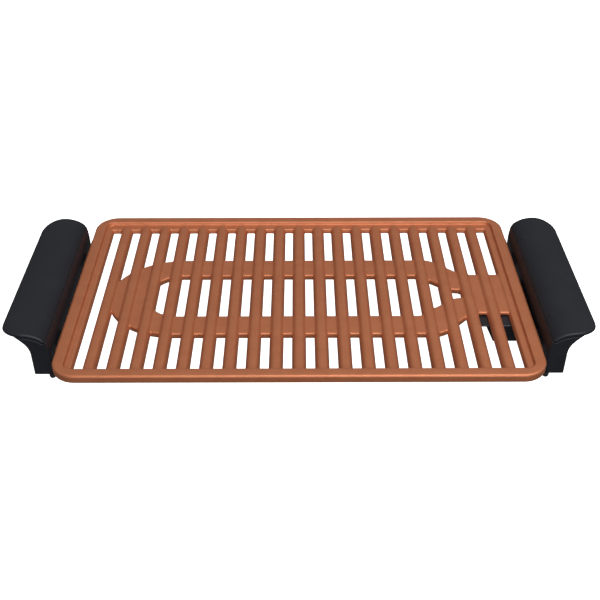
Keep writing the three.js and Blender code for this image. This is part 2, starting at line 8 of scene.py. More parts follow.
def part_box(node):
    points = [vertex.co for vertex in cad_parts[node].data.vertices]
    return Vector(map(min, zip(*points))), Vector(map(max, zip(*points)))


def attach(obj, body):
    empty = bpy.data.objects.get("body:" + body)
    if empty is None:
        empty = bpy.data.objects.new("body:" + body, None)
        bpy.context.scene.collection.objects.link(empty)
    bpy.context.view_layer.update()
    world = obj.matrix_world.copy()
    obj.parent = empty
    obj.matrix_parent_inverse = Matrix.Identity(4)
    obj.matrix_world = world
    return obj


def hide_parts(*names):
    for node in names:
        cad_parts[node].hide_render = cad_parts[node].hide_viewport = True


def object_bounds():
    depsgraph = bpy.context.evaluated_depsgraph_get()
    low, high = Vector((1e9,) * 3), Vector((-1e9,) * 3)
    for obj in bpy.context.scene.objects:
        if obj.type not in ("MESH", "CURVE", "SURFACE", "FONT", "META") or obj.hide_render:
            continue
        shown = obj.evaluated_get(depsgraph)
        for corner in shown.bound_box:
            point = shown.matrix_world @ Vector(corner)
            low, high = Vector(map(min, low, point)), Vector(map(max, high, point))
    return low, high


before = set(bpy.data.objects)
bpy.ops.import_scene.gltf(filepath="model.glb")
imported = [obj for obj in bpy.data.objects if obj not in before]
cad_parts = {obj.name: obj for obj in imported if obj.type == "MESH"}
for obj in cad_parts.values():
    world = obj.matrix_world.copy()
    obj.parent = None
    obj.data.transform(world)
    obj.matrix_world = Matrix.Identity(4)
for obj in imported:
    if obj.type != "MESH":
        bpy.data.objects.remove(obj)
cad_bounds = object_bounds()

MM = 0.001
GAP = 0.3  # clearance between pieces that touch
MOST_TRIANGLES = 190000
COARSER = 1.0


def corners(node):
    low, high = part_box(node)
    return np.array(low) / MM, np.array(high) / MM


# ---------------------------------------------------------------- distances

def both(a, b, radius=0.0):
    """What lies in both shapes, with the edge between them rounded."""
    rounded = np.hypot(np.maximum(a + radius, 0), np.maximum(b + radius, 0))
    return np.minimum(np.maximum(a, b), -radius) + rounded


def joined(a, b, radius=0.0):
    """Both shapes together, with a fillet where they meet."""
    return -both(-a, -b, radius)


def less(a, b, radius=0.0):
    """The first shape with the second one cut out of it."""
    return both(a, -b, radius)


def between(value, low, high):
    return np.maximum(low - value, value - high)


def rectangle(u, v, u0, u1, v0, v1, radius=0.0):
    return both(between(u, u0, u1), between(v, v0, v1), radius)


def block(grid, low, high, radius=0.0, corner=None):
    """A box with rounded edges, and another radius at its upright corners."""
    x, y, z = grid
    plan = rectangle(x, y, low[0], high[0], low[1], high[1], radius if corner is None else corner)
    return both(plan, between(z, low[2], high[2]), radius)


def rod_up(grid, x, y, z0, z1, radius, edge=0.0):
    return both(np.hypot(grid[0] - x, grid[1] - y) - radius, between(grid[2], z0, z1), edge)


def rod_along(grid, x0, x1, y, z, radius, edge=0.0):
    return both(np.hypot(grid[1] - y, grid[2] - z) - radius, between(grid[0], x0, x1), edge)


def polygon(u, v, outline):
    """Signed distance from a closed outline in two of the axes."""
    points = np.array(outline, float)
    nearest = np.inf
    inside = False
    for (u0, v0), (u1, v1) in zip(points, np.roll(points, -1, axis=0)):
        du, dv = u1 - u0, v1 - v0
        along = np.clip(((u - u0) * du + (v - v0) * dv) / (du * du + dv * dv), 0, 1)
        nearest = np.minimum(nearest, (u - u0 - du * along) ** 2 + (v - v0 - dv * along) ** 2)
        if dv:
            inside = inside ^ (((v0 > v) != (v1 > v)) & (u - u0 < du * (v - v0) / dv))
    return np.where(inside, -1, 1) * np.sqrt(nearest)


def bezier(*controls, steps=14):
    """Points along a quadratic or cubic curve, without its first one."""
    points = []
    for share in np.linspace(0, 1, steps + 1)[1:]:
        level = np.array(controls, float)
        while len(level) > 1:
            level = level[:-1] + (level[1:] - level[:-1]) * share
        points.append(tuple(level[0]))
    return points


def ellipse(cx, cy, rx, ry, start, end, steps=28):
    angles = np.linspace(start, end, steps + 1)
    return [(cx + rx * math.cos(a), cy + ry * math.sin(a)) for a in angles]


def stops(*marks):
    """Grid lines from (start, step), (start, step), ... to a last (end, None)."""
    lines = []
    for (start, step), (end, _) in zip(marks, marks[1:]):
        count = max(1, round((end - start) / (step * COARSER)))
        lines.extend(np.linspace(start, end, count, endpoint=False))
    return np.array(lines + [marks[-1][0]])


def even(low, high, step):
    """Grid lines that pass both ends by one step and a half."""
    past = 1.5 * step * COARSER
    return stops((low - past, step), (high + past, None))


def box_axes(low, high, *steps):
    """Grid lines over a box, with one step for all three axes or one for each."""
    return [even(low[k], high[k], steps[k % len(steps)]) for k in range(3)]


def open_grid(axes):
    return np.meshgrid(*[a.astype(np.float32) for a in axes], indexing="ij", sparse=True)


# ---------------------------------------------------------------- surfaces

def net(field, axes):
    """Vertices and quads where the field is zero, with one vertex for each cell the surface crosses."""
    inside = field < 0
    cells = np.array(field.shape) - 1
    rings, crossings, quads = [], [], []
    for d in range(3):
        before, after = [slice(None)] * 3, [slice(None)] * 3
        before[d], after[d] = slice(0, -1), slice(1, None)
        start = np.array(np.nonzero(inside[tuple(before)] != inside[tuple(after)]))
        end = start.copy()
        end[d] += 1
        f0, f1 = field[tuple(start)], field[tuple(end)]
        point = np.stack([axes[k][start[k]] for k in range(3)])
        point[d] += f0 / (f0 - f1) * (axes[d][end[d]] - axes[d][start[d]])
        ring = []
        for step_1, step_2 in ((-1, -1), (0, -1), (0, 0), (-1, 0)):
            cell = start.copy()
            cell[(d + 1) % 3] += step_1
            cell[(d + 2) % 3] += step_2
            ring.append(np.ravel_multi_index(cell, cells))
        ring = np.stack(ring, 1)
        rings.append(ring.ravel())
        crossings.append(np.repeat(point.T, 4, axis=0))
        quads.append(np.where((f0 < 0)[:, None], ring, ring[:, ::-1]))
    used, place = np.unique(np.concatenate(rings), return_inverse=True)
    crossings = np.concatenate(crossings)
    shared = np.bincount(place)
    vertices = np.stack([np.bincount(place, crossings[:, k]) / shared for k in range(3)], 1)
    return vertices, np.searchsorted(used, np.concatenate(quads))


def mesh_of(name, vertices, quads):
    mesh = bpy.data.meshes.new(name)
    mesh.vertices.add(len(vertices))
    mesh.vertices.foreach_set("co", (vertices * MM).astype(np.float32).ravel())
    mesh.loops.add(quads.size)
    mesh.loops.foreach_set("vertex_index", quads.astype(np.int32).ravel())
    mesh.polygons.add(len(quads))
    mesh.polygons.foreach_set("loop_start", np.arange(0, quads.size, 4, dtype=np.int32))
    mesh.update(calc_edges=True)
    mesh.validate()
    mesh.shade_smooth()
    return mesh


def thinned(mesh):
    """The mesh with fewer triangles where it is flat, down to the budget."""
    triangles = 2 * len(mesh.polygons)
    if triangles <= MOST_TRIANGLES:
        return mesh
    holder = bpy.data.objects.new("holder", mesh)
    bpy.context.collection.objects.link(holder)
    collapse = holder.modifiers.new("thin", "DECIMATE")
    collapse.ratio = MOST_TRIANGLES / triangles
    evaluated = holder.evaluated_get(bpy.context.evaluated_depsgraph_get())
    result = bpy.data.meshes.new_from_object(evaluated)
    bpy.data.objects.remove(holder)
    return result


def sampled(values, axes, points):
    """Grid values at points, each in proportion to its place in its cell."""
    place, share = [], []
    for k in range(3):
        i = np.clip(np.searchsorted(axes[k], points[:, k]) - 1, 0, len(axes[k]) - 2)
        place.append(i)
        share.append((points[:, k] - axes[k][i]) / (axes[k][i + 1] - axes[k][i]))
    total = 0
    for corner in range(8):
        bits = [(corner >> k) & 1 for k in range(3)]
        weight = np.prod([share[k] if bits[k] else 1 - share[k] for k in range(3)], axis=0)
        total = total + weight * values[tuple(place[k] + bits[k] for k in range(3))]
    return total


def set_normals(mesh, field, axes):
    """Shades the mesh with the field's own slope, so that a coarse fillet still looks round."""
    points = np.empty(len(mesh.vertices) * 3, np.float32)
    mesh.vertices.foreach_get("co", points)
    points = points.reshape(-1, 3) / MM
    slopes = [sampled(np.gradient(field, axes[k], axis=k), axes, points) for k in range(3)]
    normals = np.stack(slopes, 1)
    normals /= np.maximum(np.linalg.norm(normals, axis=1, keepdims=True), 1e-9)
    mesh.normals_split_custom_set_from_vertices(normals.tolist())


def add_piece(mesh, node, surface):
    """Puts a mesh in the scene in place of a CAD node, on that node's body."""
    piece = bpy.data.objects.new(node + "_look", mesh)
    bpy.context.collection.objects.link(piece)
    mesh.materials.append(surface)
    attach(piece, "root")
    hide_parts(node)


def add_shape(node, shape, axes, surface):
    """Builds a piece from a function of the grid that returns its distances, in millimetres."""
    field = np.broadcast_to(shape(open_grid(axes)), [len(a) for a in axes]).astype(np.float32)
    vertices, quads = net(field, axes)
    mesh = thinned(mesh_of(node, vertices, quads))
    mesh.shade_smooth()
    set_normals(mesh, field, axes)
    add_piece(mesh, node, surface)


# ---------------------------------------------------------------- materials

class Surface:
    """A node material: helpers that add a node, wire its inputs and return its output."""

    def __init__(self, name, metallic=0.0, ior=1.5, coat=0.0, coat_roughness=0.2):
        self.material = bpy.data.materials.new(name + "_finish")
        self.material.use_nodes = True
        self.tree = self.material.node_tree
        self.shader = self.tree.nodes["Principled BSDF"]
        self.shader.inputs["Metallic"].default_value = metallic
        self.shader.inputs["IOR"].default_value = ior
        self.shader.inputs["Coat Weight"].default_value = coat
        self.shader.inputs["Coat Roughness"].default_value = coat_roughness
        place = self.tree.nodes.new("ShaderNodeTexCoord")
        self.place = place.outputs["Object"]

    def wire(self, node, values):
        for key, value in values.items():
            if isinstance(value, bpy.types.NodeSocket):
                self.tree.links.new(value, node.inputs[key])
            else:
                node.inputs[key].default_value = value
        return node

    def noise(self, scale, detail=2.0, roughness=0.5, stretch=None):
        place = self.place
        if stretch:
            mapping = self.tree.nodes.new("ShaderNodeMapping")
            place = self.wire(mapping, {"Vector": place, "Scale": stretch}).outputs["Vector"]
        node = self.tree.nodes.new("ShaderNodeTexNoise")
        settings = {"Vector": place, "Scale": scale, "Detail": detail, "Roughness": roughness}
        return self.wire(node, settings).outputs["Fac"]

    def cells(self, scale):
        node = self.tree.nodes.new("ShaderNodeTexVoronoi")
        return self.wire(node, {"Vector": self.place, "Scale": scale}).outputs["Color"]

    def ramp(self, factor, *steps):
        node = self.tree.nodes.new("ShaderNodeValToRGB")
        ramp = node.color_ramp
        while len(ramp.elements) < len(steps):
            ramp.elements.new(0.5)
        for element, (position, colour) in zip(ramp.elements, steps):
            element.position = position
            element.color = colour if isinstance(colour, tuple) else (colour, colour, colour, 1)
        return self.wire(node, {"Fac": factor}).outputs["Color"]

    def mix(self, factor, first, second, mode="MIX"):
        node = self.tree.nodes.new("ShaderNodeMix")
        node.data_type = "RGBA"
        node.blend_type = mode
        sockets = {s.identifier: s for s in node.inputs}
        for key, value in (("Factor_Float", factor), ("A_Color", first), ("B_Color", second)):
            if isinstance(value, bpy.types.NodeSocket):
                self.tree.links.new(value, sockets[key])
            else:
                sockets[key].default_value = value
        return next(s for s in node.outputs if s.identifier == "Result_Color")

    def ranged(self, value, low, high):
        node = self.tree.nodes.new("ShaderNodeMapRange")
        return self.wire(node, {"Value": value, "To Min": low, "To Max": high}).outputs["Result"]

    def bump(self, height, distance, strength=1.0, below=None):
        node = self.tree.nodes.new("ShaderNodeBump")
        values = {"Height": height, "Distance": distance, "Strength": strength}
        if below:
            values["Normal"] = below
        return self.wire(node, values).outputs["Normal"]

    def finish(self, colour, roughness, normal=None):
        values = {"Base Color": colour, "Roughness": roughness}
        if normal:
            values["Normal"] = normal
        self.wire(self.shader, values)
        return self.material


def tone(red, green, blue):
    """A display colour as the linear one that a shader takes."""
    def linear(c):
        c /= 255
        return c / 12.92 if c <= 0.04045 else ((c + 0.055) / 1.055) ** 2.4
    return (linear(red), linear(green), linear(blue), 1)


def copper_coating():
    s = Surface("copper_coating", metallic=0.55, coat=0.12, coat_roughness=0.3)
    drift = s.noise(9, 3)
    cloud = s.noise(70, 4, 0.6)
    flake = s.cells(2600)
    body = s.mix(s.ranged(drift, 0.1, 0.9), tone(184, 110, 73), tone(198, 121, 82))
    body = s.mix(0.12, body, s.ramp(cloud, (0.3, tone(162, 92, 60)), (0.7, tone(226, 152, 112))))
    body = s.mix(0.07, body, flake, "OVERLAY")
    roughness = s.ranged(s.noise(420, 3), 0.42, 0.54)
    peel = s.bump(s.noise(520, 2), 0.00006, 0.5)
    grit = s.bump(s.noise(3200, 2), 0.00001, 0.5, below=peel)
    return s.finish(body, roughness, grit)


def black_moulding():
    s = Surface("black_moulding", ior=1.46)
    cloud = s.noise(26, 4, 0.6)
    body = s.ramp(cloud, (0.25, tone(19, 21, 28)), (0.55, tone(23, 25, 33)), (0.8, tone(28, 30, 38)))
    body = s.mix(s.ranged(s.noise(1500, 2), 0.0, 0.3), body, tone(17, 17, 21))
    roughness = s.ranged(s.noise(160, 4, 0.65), 0.4, 0.56)
    flow = s.bump(s.noise(60, 2), 0.00012, 0.35)
    grain = s.bump(s.noise(1900, 3, 0.7), 0.00003, 0.6, below=flow)
    return s.finish(body, roughness, grain)


def element_sheath():
    s = Surface("element_sheath", metallic=0.85)
    heat = s.noise(38, 4, 0.6)
    body = s.ramp(heat, (0.3, tone(92, 86, 84)), (0.5, tone(122, 112, 104)), (0.72, tone(134, 116, 98)))
    body = s.mix(s.ranged(s.noise(900, 3), 0, 0.35), body, tone(70, 66, 68))
    roughness = s.ranged(s.noise(300, 3), 0.34, 0.55)
    drawn = s.bump(s.noise(500, 3, 0.6, (1, 6, 6)), 0.00002, 0.6)
    return s.finish(body, roughness, drawn)


def steel_sheet():
    s = Surface("steel_sheet", metallic=0.95)
    drawn = s.noise(260, 4, 0.65, (1, 12, 12))
    body = s.ramp(drawn, (0.3, tone(158, 159, 161)), (0.7, tone(196, 197, 198)))
    roughness = s.ranged(s.noise(340, 3, 0.6, (1, 10, 10)), 0.22, 0.42)
    return s.finish(body, roughness, s.bump(drawn, 0.00001, 0.6))


def black_strap():
    s = Surface("black_strap", metallic=0.2, coat=0.25, coat_roughness=0.25)
    cloud = s.noise(45, 4, 0.6)
    body = s.ramp(cloud, (0.3, tone(26, 26, 29)), (0.75, tone(40, 40, 43)))
    worn = s.ramp(s.noise(700, 4, 0.7), (0.66, 0.0), (0.74, 1.0))
    body = s.mix(worn, body, tone(74, 72, 72))
    roughness = s.ranged(s.noise(500, 3), 0.4, 0.62)
    return s.finish(body, roughness, s.bump(s.noise(1100, 3), 0.00003, 0.5))


def screw_steel():
    s = Surface("screw_steel", metallic=0.95)
    plating = s.noise(600, 4, 0.6)
    body = s.ramp(plating, (0.3, tone(142, 143, 148)), (0.7, tone(192, 192, 190)))
    roughness = s.ranged(s.noise(1400, 3), 0.2, 0.4)
    return s.finish(body, roughness, s.bump(s.noise(2400, 2), 0.000008, 0.5))


def ceramic_white():
    s = Surface("ceramic_white", ior=1.58)
    body = s.ramp(s.noise(240, 4), (0.3, tone(214, 206, 190)), (0.7, tone(234, 229, 217)))
    speck = s.ramp(s.noise(2400, 2), (0.68, 0.0), (0.74, 1.0))
    body = s.mix(speck, body, tone(176, 164, 146))
    return s.finish(body, s.ranged(s.noise(700, 3), 0.45, 0.7), s.bump(s.noise(1800, 3), 0.00003, 0.6))


def rubber_black():
    s = Surface("rubber_black", ior=1.48)
    body = s.ramp(s.noise(300, 4), (0.3, tone(22, 22, 23)), (0.7, tone(37, 36, 37)))
    dust = s.ramp(s.noise(1500, 4, 0.7), (0.62, 0.0), (0.8, 0.6))
    body = s.mix(dust, body, tone(62, 61, 60))
    return s.finish(body, s.ranged(s.noise(600, 3), 0.7, 0.92), s.bump(s.noise(2000, 3), 0.00004, 0.7))


COPPER = copper_coating()
MOULDING = black_moulding()
SHEATH = element_sheath()
SHEET = steel_sheet()
STRAP_PAINT = black_strap()
PLATING = screw_steel()
CERAMIC = ceramic_white()
RUBBER = rubber_black()

# ---------------------------------------------------------------- places, from the frame

plate_low, plate_high = corners("grill_plate")
sleeve_low, sleeve_high = corners("probe_sleeve")
housing_low, housing_high = corners("socket_housing")
pin_back_low, pin_back_high = corners("terminal_pin_back")
pin_front_low, pin_front_high = corners("terminal_pin_front")

RIM_TOP = plate_high[2]
CREST_TOP = RIM_TOP - 1.5
LEDGE_TOP = RIM_TOP - 3.3
BAND_TOP = RIM_TOP - 4.7
CAST_BOTTOM = RIM_TOP - 8.3
BAND_BOTTOM = RIM_TOP - 10.5
SOCKET_AXIS = (sleeve_low[2] + sleeve_high[2]) / 2
SOCKET_MIDDLE = (sleeve_low[1] + sleeve_high[1]) / 2
PIN_BACK = (pin_back_low[1] + pin_back_high[1]) / 2
PIN_FRONT = (pin_front_low[1] + pin_front_high[1]) / 2
HOUSING_SCREWS = [np.mean(corners(f"socket_screw_{where}"), axis=0) for where in ("front", "back")]

# ---------------------------------------------------------------- heating element

TUBE_RADIUS = 3.5
TUBE_LEVEL = RIM_TOP - 9.7
TUBE_END = corners("heating_element")[1][0]
BAND_MIDDLE = -6.2
BAND_HALF_OUTER, BAND_HALF_INNER = 58.9, 32.3
BAND_LEFT, BAND_RIGHT = -112, 122
BAND_END_OUTER, BAND_END_INNER = 66, 29
LEAD_START = 114
# The way in: (x, out from the terminal, up from the socket's axis), then (x, inwards from the band).
LEAD_AT_TERMINAL = [(179, 0, 0), (173, 0, 0.7), (166, 0.8, 3.6)]
LEAD_TOP_X, LEAD_TOP_OUT, LEAD_TOP_BELOW = 158, 3, 1
LEAD_ALONG_BAND = [(150, 30), (138, 15.5), (126, 3.5), (LEAD_START, 0)]
TUBE_END_SHARES, TUBE_END_INSET = (0.04, 0.2), 0.5
ROUTE_SPACING = 2.5


def element_route():
    """Points along the element's middle, from its back terminal round the band to the front one."""
    half = (BAND_HALF_OUTER + BAND_HALF_INNER) / 2
    end = (BAND_END_OUTER + BAND_END_INNER) / 2
    level, axis = TUBE_LEVEL, SOCKET_AXIS

    def lead_in(side, terminal):
        beside = BAND_MIDDLE + side * half
        points = [(TUBE_END, terminal, axis)]
        points += [(x, terminal + side * out, axis + up) for x, out, up in LEAD_AT_TERMINAL]
        points.append((LEAD_TOP_X, terminal + side * LEAD_TOP_OUT, level - LEAD_TOP_BELOW))
        return points + [(x, beside - side * inwards, level) for x, inwards in LEAD_ALONG_BAND]

    route = lead_in(1, PIN_BACK)
    route += [(x, BAND_MIDDLE + half, level) for x in np.linspace(LEAD_START, BAND_LEFT, 7)[1:-1]]
    turn = ellipse(BAND_LEFT, BAND_MIDDLE, end, half, math.pi / 2, math.pi * 1.5)
    route += [(x, y, level) for x, y in turn]
    route += [(x, BAND_MIDDLE - half, level) for x in np.linspace(BAND_LEFT, LEAD_START, 7)[1:-1]]
    route += lead_in(-1, PIN_FRONT)[::-1]
    points = np.array(route, float)
    for _ in range(3):  # cut the corners until the line is smooth
        quarter = points[:-1] * 0.75 + points[1:] * 0.25
        far = points[:-1] * 0.25 + points[1:] * 0.75
        inner = np.stack([quarter, far], 1).reshape(-1, 3)
        points = np.concatenate([points[:1], inner, points[-1:]])
    return points


def respaced(points, spacing):
    lengths = np.concatenate([[0], np.cumsum(np.linalg.norm(np.diff(points, axis=0), axis=1))])
    even_lengths = np.linspace(0, lengths[-1], round(lengths[-1] / spacing) + 1)
    return np.stack([np.interp(even_lengths, lengths, points[:, k]) for k in range(3)], 1)


def swept(points, radii, sides=28):
    """A closed round tube along points, with its own radius at each one."""
    directions = np.gradient(points, axis=0)
    directions /= np.linalg.norm(directions, axis=1, keepdims=True)
    across = np.cross(directions, (0, 0, 1))
    across /= np.linalg.norm(across, axis=1, keepdims=True)
    up = np.cross(across, directions)
    angles = np.arange(sides) / sides * 2 * math.pi
    ring = np.cos(angles)[None, :, None] * across[:, None] + np.sin(angles)[None, :, None] * up[:, None]
    vertices = (points[:, None] + ring * np.array(radii)[:, None, None]).reshape(-1, 3)
    count = len(points)
    faces = []
    for i in range(count - 1):
        for j in range(sides):
            k = (j + 1) % sides
            faces.append((i * sides + j, i * sides + k, (i + 1) * sides + k, (i + 1) * sides + j))
    faces.append(tuple(range(sides))[::-1])
    faces.append(tuple((count - 1) * sides + j for j in range(sides)))
    mesh = bpy.data.meshes.new("tube")
    mesh.from_pydata((vertices * MM).tolist(), [], faces)
    mesh.validate()
    mesh.shade_smooth()
    return mesh


ROUTE = respaced(element_route(), ROUTE_SPACING)


def build_element():
    """The tube, with two close rings at each end that round its edge over."""
    near, far = TUBE_END_SHARES
    start = [ROUTE[0] + (ROUTE[1] - ROUTE[0]) * share for share in (near, far)]
    end = [ROUTE[-1] + (ROUTE[-2] - ROUTE[-1]) * share for share in (far, near)]
    points = np.concatenate([ROUTE[:1], start, ROUTE[1:-1], end, ROUTE[-1:]])
    radii = np.full(len(points), TUBE_RADIUS)
    radii[[0, -1]] = TUBE_RADIUS - TUBE_END_INSET
    radii[[1, -2]] = TUBE_RADIUS - TUBE_END_INSET * 0.3
    add_piece(swept(points, radii), "heating_element", SHEATH)


build_element()

# ---------------------------------------------------------------- grate

PLATE_HALF = (plate_high[0] - 1.5, plate_high[1])
PLATE_CORNER, PLATE_EDGE = 22, 2
TRAY_HALF = (199, 117)
TRAY_CORNER, TRAY_DRAFT = 7, 0.8
PITCH, BARS_EACH_SIDE = 19.8, 9
SLOT_TOP, SLOT_BOTTOM = 5.35, 3.4
SLOT_FRONT, SLOT_BACK = -115, 108.5
BAR_FRONT, BAR_BACK, BAR_TIP = -123, 115, 6.5
CROWN_EDGE = 2.2
PAD_LOW, PAD_HIGH = (158, -34.5), (199.5, 27.2)
BOSS_LEFT, BOSS_RIGHT, BOSS_HALF = 157.5, 167.5, 6.2
LUG_HALF, LUG_TOP, LUG_DEPTH = 91, RIM_TOP - 3.5, 6
FINE_FROM = (196, 112)
SLEEVE_RADIUS = (sleeve_high[2] - sleeve_low[2]) / 2
SHANK = 1.75
SCREW_REACH = 2.7  # how far the socket's screws go into the pad
SLOT_BACK_DRAFT, TRAY_FLOOR_EDGE, TRAY_RIM_EDGE = 0.2, 0.5, 0.6
CHANNEL_GAP = GAP + 0.1
# The band's corners: a curve's start, control point and end along X, and its rise in Y.
BAND_CORNER_START, BAND_CORNER_CONTROL, BAND_CORNER_END = 4, 8, 16
BAND_FRONT_RISE, BAND_BACK_DROP = 10, 8
OPENING_FRONT, OPENING_FRONT_RISE = (108, 113, 118), 7
OPENING_BACK, OPENING_BACK_DROP = (124, 117, 110), 6.5
OPENING_TIP = [(146, -11.6), (154, -10.2), (157, -8), (157, -0.6), (154, 1.9), (145, 2.9)]
PAD_OVERLAP = 6


def band_outlines():
    """The band's outer and inner outlines: straight sides, an elliptic left end, a mitred right end."""
    middle, right = BAND_MIDDLE, BAND_RIGHT
    control, end = right + BAND_CORNER_CONTROL, right + BAND_CORNER_END
    half_turn = (math.pi / 2, math.pi * 1.5)
    front, back = middle - BAND_HALF_OUTER, middle + BAND_HALF_OUTER
    outer = ellipse(BAND_LEFT, middle, BAND_END_OUTER, BAND_HALF_OUTER, *half_turn, 48)
    start = (right - BAND_CORNER_START, front)
    outer += [start, *bezier(start, (control, front), (end, front + BAND_FRONT_RISE))]
    (left, pad_front), pad_back = PAD_LOW, PAD_HIGH[1]
    outer += [(left, pad_front), (left + PAD_OVERLAP, pad_front)]
    outer += [(left + PAD_OVERLAP, pad_back), (left, pad_back)]
    start = (end, back - BAND_BACK_DROP)
    outer += [start, *bezier(start, (control, back), (right, back))]
    front, back = middle - BAND_HALF_INNER, middle + BAND_HALF_INNER
    inner = ellipse(BAND_LEFT, middle, BAND_END_INNER, BAND_HALF_INNER, *half_turn, 40)
    x0, x1, x2 = OPENING_FRONT
    inner += [(x0, front), *bezier((x0, front), (x1, front), (x2, front + OPENING_FRONT_RISE))]
    x0, x1, x2 = OPENING_BACK
    start = (x0, back - OPENING_BACK_DROP)
    inner += [*OPENING_TIP, start, *bezier(start, (x1, back), (x2, back))]
    return outer, inner


def nearest_on_route(x, y):
    """For each place on the plan, its distance from the element's line and the line's level there."""
    line = respaced(ROUTE, 1.2)
    distance = np.empty((x.size, y.size), np.float32)
    level = np.empty((x.size, y.size), np.float32)
    for i, value in enumerate(x.ravel()):
        squares = (line[:, 0, None] - value) ** 2 + (line[:, 1, None] - y.ravel()[None]) ** 2
        nearest = squares.argmin(axis=0)
        distance[i] = np.sqrt(squares[nearest, np.arange(y.size)])
        level[i] = line[nearest, 2]
    return distance[:, :, None], level[:, :, None]


def grate(grid):
    x, y, z = grid
    blank = rectangle(x, y, -PLATE_HALF[0], PLATE_HALF[0], -PLATE_HALF[1], PLATE_HALF[1], PLATE_CORNER)
    body = both(blank, between(z, CAST_BOTTOM, RIM_TOP), PLATE_EDGE)

    tray = rectangle(x, y, -TRAY_HALF[0], TRAY_HALF[0], -TRAY_HALF[1], TRAY_HALF[1], TRAY_CORNER)
    depth = RIM_TOP - LEDGE_TOP
    slant = math.hypot(depth, TRAY_DRAFT)
    tray = (tray - (z - LEDGE_TOP) * TRAY_DRAFT / depth) * depth / slant
    body = less(body, both(tray, LEDGE_TOP - z, TRAY_FLOOR_EDGE), TRAY_RIM_EDGE)

    last = (BARS_EACH_SIDE + 0.5) * PITCH
    repeated = np.abs(np.mod(x, PITCH) - PITCH / 2)
    beside_slot = np.where(np.abs(x) < last + PITCH / 2, repeated, np.abs(x) - last)
    widening = (SLOT_TOP - SLOT_BOTTOM) / (LEDGE_TOP - CAST_BOTTOM)
    wide = SLOT_BOTTOM + (z - CAST_BOTTOM) * widening
    slot_back = SLOT_BACK + (z - LEDGE_TOP) * SLOT_BACK_DRAFT
    slot = both(beside_slot - wide, between(y, SLOT_FRONT, slot_back), 1.0)
    body = less(body, slot, 0.9)

    nearest_bar = np.clip(np.round(x / PITCH), -BARS_EACH_SIDE, BARS_EACH_SIDE) * PITCH
    pointed = 1 - np.clip((y - BAR_BACK + BAR_TIP) / BAR_TIP, 0, 1) ** 2
    bar = np.abs(x - nearest_bar) - (PITCH / 2 - wide) * pointed
    plan = both(bar, between(y, BAR_FRONT, BAR_BACK), 0.5)
    crown = both(plan, between(z, CAST_BOTTOM + 0.2, CREST_TOP), CROWN_EDGE)
    body = joined(body, crown, 0.5)

    outer, inner = band_outlines()
    band = less(polygon(x, y, outer), polygon(x, y, inner))
    band = both(band, between(z, BAND_BOTTOM, BAND_TOP), 1.2)
    pad = block(grid, (*PAD_LOW, CAST_BOTTOM), (*PAD_HIGH, BAND_TOP), 1.2)
    body = joined(body, joined(band, pad, 1.0), 0.7)

    reach = plate_high[0]
    lug = both(between(np.abs(x), reach - LUG_DEPTH, reach), between(y, -LUG_HALF, LUG_HALF), 3)
    body = joined(body, both(lug, between(z, CAST_BOTTOM, LUG_TOP), 0.8), 0.6)

    boss_low = (BOSS_LEFT, SOCKET_MIDDLE - BOSS_HALF, plate_low[2])
    boss_high = (BOSS_RIGHT, SOCKET_MIDDLE + BOSS_HALF, CAST_BOTTOM + 1)
    body = joined(body, block(grid, boss_low, boss_high, 0.8, 2.5), 0.8)
    bore_ends = (BOSS_LEFT - 2, BOSS_RIGHT + 2)
    bore = rod_along(grid, *bore_ends, SOCKET_MIDDLE, SOCKET_AXIS, SLEEVE_RADIUS + GAP)
    body = less(body, bore, 0.4)

    for node in ("grate_screw_right_back", "grate_screw_left_front"):
        low, high = corners(node)
        middle = (low + high) / 2
        hole = np.hypot(np.abs(x) - abs(middle[0]), np.abs(y) - abs(middle[1])) - SHANK - GAP
        body = less(body, both(hole, z - high[2] - GAP, 0.4), 0.3)
    for spot in HOUSING_SCREWS:
        hole = np.hypot(x - spot[0], y - spot[1]) - SHANK - GAP
        body = less(body, both(hole, z - CAST_BOTTOM - SCREW_REACH, 0.4), 0.3)

    beside, level = nearest_on_route(x, y)
    channel = np.hypot(beside, z - level) - TUBE_RADIUS - CHANNEL_GAP
    return less(body, both(channel, x - PAD_HIGH[0] + 1), 0.4)


def build_grate():
    step = PITCH / 22
    bars = np.arange(-round(FINE_FROM[0] / step), round(FINE_FROM[0] / step) + 1) * step
    side = stops((bars[-1], 0.45), (plate_high[0] + 0.9, None))[1:]
    across = np.concatenate([-side[::-1], bars, side])
    edge, wall = PLATE_HALF[1], FINE_FROM[1]
    deep = stops((-edge - 1, 0.5), (-wall, 1.0), (wall - 4, 0.45), (edge + 1, None))
    low = plate_low[2]
    up = stops((low - 1.4, 0.9), (BAND_BOTTOM - 0.6, 0.45), (RIM_TOP + 0.9, None))
    add_shape("grill_plate", grate, [across, deep, up], COPPER)


build_grate()

# ---------------------------------------------------------------- handles

GRIP_SHEET, GRIP_INNER_CORNER, GRIP_LIP_CORNER = 1.4, 3, 22
# The grip's section: (out from the handle's inner face, up from the grip's top).
GRIP_CREASE, GRIP_NOTCH = (2.9, -8.6), (5.8, -10.4)
GRIP_UNDER = [(9.5, -6.8), (15, -4.2), (26, -3.8)]
GRIP_UNDER_LIP = [(33, -3.6), (38, -4.2), (42.8, -6.4)]
GRIP_LIP = [(43.8, -5), (42.6, -3.4)]
GRIP_TOP = [(38, -1.2), (31, 0), (24, 0)]
GRIP_CROWN = [(13, 0), (6, -4.3), GRIP_CREASE]
